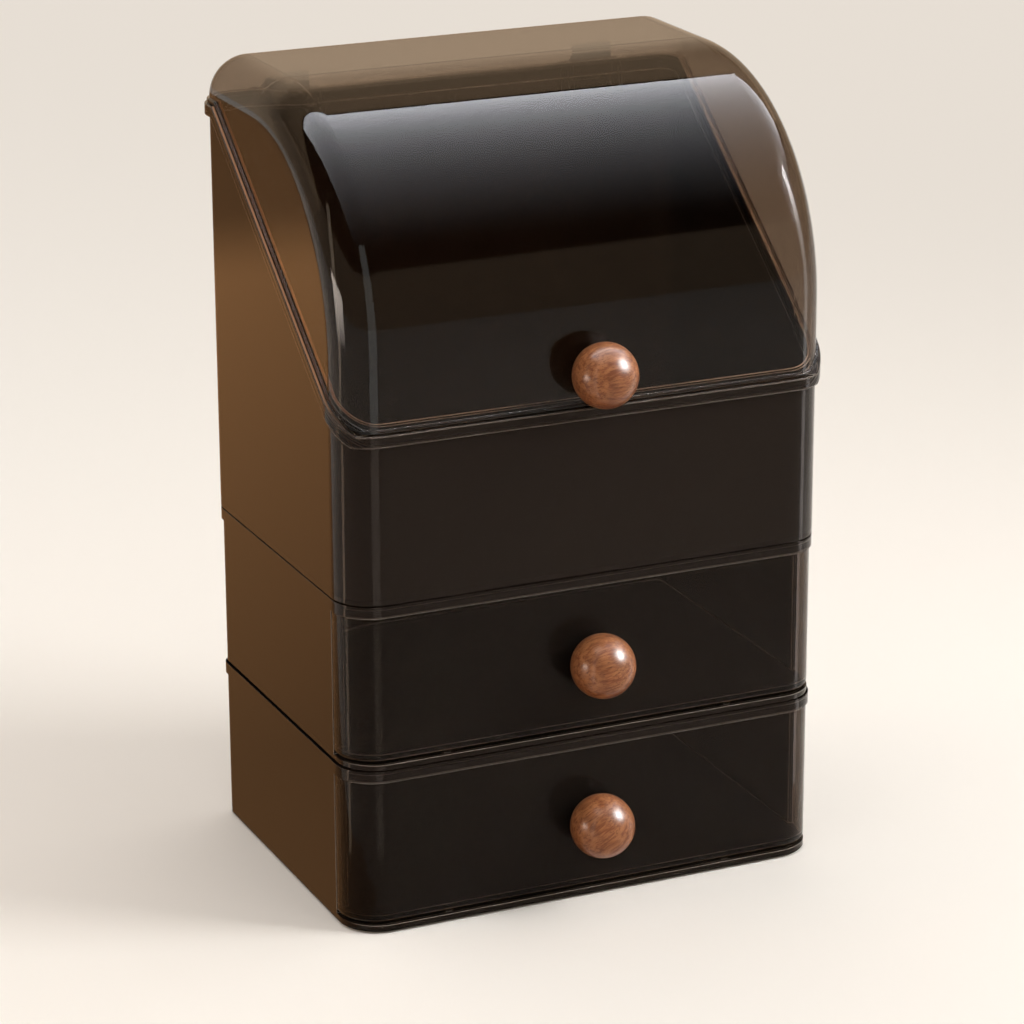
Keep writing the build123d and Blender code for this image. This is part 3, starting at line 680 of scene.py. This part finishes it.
@dataclass
class Studio:
    """Pale floor, soft lights and the camera."""

    floor_half: float = 12.0
    camera_place: tuple[float, float, float] = (-0.71023, -1.56605, 0.74802)
    camera_azimuth: float = 24.21       # degrees to the right of straight on
    camera_down: float = 18.73          # degrees below level
    camera_roll: float = -0.22
    lens_mm: float = 136.05
    sensor_mm: float = 36.0

    def build(self) -> None:
        """Builds the whole studio."""
        self.build_floor()
        self.build_world()
        self.build_lights()
        self.build_camera()

    def build_floor(self) -> None:
        """Makes the pale floor."""
        half = self.floor_half
        mesh = bpy.data.meshes.new("studio_floor")
        mesh.from_pydata([(-half, -half, 0), (half, -half, 0), (half, half, 0), (-half, half, 0)], [], [(0, 1, 2, 3)])
        floor = bpy.data.objects.new("studio_floor", mesh)
        bpy.context.scene.collection.objects.link(floor)
        material, tree = new_material("PaleStudioFloor")
        # pale to the eye and to every mirror, but a duller thing for the light that it throws back up
        path = add_node(tree, "ShaderNodeLightPath")
        tone = add_node(tree, "ShaderNodeMix", {
            0: path.outputs["Is Diffuse Ray"], 6: rgba("#f1ece5"), 7: rgba("#a89888")}, data_type="RGBA")
        matt = add_node(tree, "ShaderNodeBsdfDiffuse", {"Color": tone.outputs[2]})
        add_node(tree, "ShaderNodeOutputMaterial", {"Surface": matt.outputs["BSDF"]})
        mesh.materials.append(material)

    def build_world(self) -> None:
        """Makes the surroundings: pale at the horizon, dark overhead."""
        world = bpy.data.worlds.new("studio_surroundings")
        bpy.context.scene.world = world
        world.use_nodes = True
        tree = world.node_tree
        tree.nodes.clear()
        place = add_node(tree, "ShaderNodeTexCoord")
        split = add_node(tree, "ShaderNodeSeparateXYZ", {"Vector": place.outputs["Generated"]})
        room = add_node(tree, "ShaderNodeMapRange", {
            "Value": split.outputs["Z"], "From Min": 0.40, "From Max": 0.44, "To Min": 0.6, "To Max": 0.01},
            interpolation_type="SMOOTHSTEP")
        behind = add_node(tree, "ShaderNodeMapRange", {
            "Value": split.outputs["Y"], "From Min": 0.68, "From Max": 0.85, "To Min": 0.0, "To Max": 0.8},
            interpolation_type="SMOOTHSTEP")
        both = add_node(tree, "ShaderNodeMath", {
            0: room.outputs["Result"], 1: behind.outputs["Result"]}, operation="MAXIMUM")
        back = add_node(tree, "ShaderNodeBackground", {
            "Color": rgba("#ffe2c0"), "Strength": both.outputs["Value"]})
        add_node(tree, "ShaderNodeOutputWorld", {"Surface": back.outputs["Background"]})

    def build_lights(self) -> None:
        """Places the overhead panel, the key and the side fill."""
        Softbox("overhead_panel", (0.75, -0.75, 1.6), (0.75, -0.75, 0.0), 3.2, 2.8, 9.6,
                tint="#f8f9ff", reach=Reach.SHINE, fade=3.3).build()
        Softbox("back_panel", (-0.4, 0.94, 1.28), (-0.4, -0.02, 0.373), 5.6, 0.8, 1.05,
                tint="#ffd9af", reach=Reach.SHINE, fade=0.6).build()
        Softbox("ceiling", (0.0, 0.0, 5.0), (0.0, 0.01, 0.0), 26.0, 26.0, 0.86, reach=Reach.FILL).build()
        Softbox("key_softbox", (1.41, -0.87, 1.29), (0.0, 0.0, 0.2), 0.8, 0.8, 1.5, reach=Reach.FILL,
                spread=60.0).build()
        Softbox("key_shine", (1.41, -0.87, 1.29), (0.0, 0.0, 0.2), 0.8, 0.8, 130.0, reach=Reach.SHINE).build()
        Softbox("side_fill", (-1.5, 0.4, 0.35), (0.0, 0.0, 0.2), 0.5, 0.6, 0.6,
                tint="#ffc898", reach=Reach.FILL, spread=60.0).build()
        Softbox("side_shine", (-1.3, -0.03, 0.19), (0.0, -0.03, 0.19), 0.5, 0.36, 17.0,
                tint="#fff0e4", reach=Reach.SHINE, fade=0.8).build()
        Softbox("right_shine", (0.99, -0.58, 0.6), (0.12, -0.08, 0.6), 0.22, 1.2, 38.0, reach=Reach.SHINE,
                fade=3.0).build()
        left, right = (-0.101, -0.057), (0.101, -0.057)
        CornerTube("right_corner_shine", right, 58.0, 0.1, 0.02, 0.4, 2.6).build()
        CornerTube("left_corner_shine", left, -92.0, 0.1, 0.012, 0.4, 3.4, "#e4cfb4").build()
        CornerTube("front_corner_shine", left, -7.0, 0.1, 0.034, 0.4, 1.8, "#eaf0ec").build()
        MirrorCard("warm_side_card", ((-0.2, -0.12), (-0.12, -0.12), (-0.12, 2.6), (-1.6, 2.6)), "#c68f5c", 1.76).build()

    def build_camera(self) -> None:
        """Places the camera at the photograph's viewing angle."""
        azimuth, down, roll = (math.radians(a) for a in (self.camera_azimuth, self.camera_down, self.camera_roll))
        ahead = Vector((math.sin(azimuth) * math.cos(down), math.cos(azimuth) * math.cos(down), -math.sin(down)))
        level = Vector((math.cos(azimuth), -math.sin(azimuth), 0.0))
        upright = level.cross(ahead)
        right = level * math.cos(roll) + upright * math.sin(roll)
        up = right.cross(ahead)
        data = bpy.data.cameras.new("photo_camera")
        data.lens = self.lens_mm
        data.sensor_width = self.sensor_mm
        data.clip_end = 100.0
        camera = bpy.data.objects.new("photo_camera", data)
        bpy.context.scene.collection.objects.link(camera)
        turn = Matrix((right, up, -ahead)).transposed()
        camera.matrix_world = Matrix.Translation(self.camera_place) @ turn.to_4x4()
        bpy.context.scene.camera = camera


def main() -> None:
    """Builds the pieces in order and reports them."""
    logging.basicConfig(level=logging.INFO, format="%(name)s: %(message)s")
    bpy.context.scene.view_settings.view_transform = "Standard"
    for part in (SmokyShell(), Hardware(), Studio()):
        part.build()
        LOG.info("%s done", type(part).__name__)


if __name__ == "__main__":
    main()
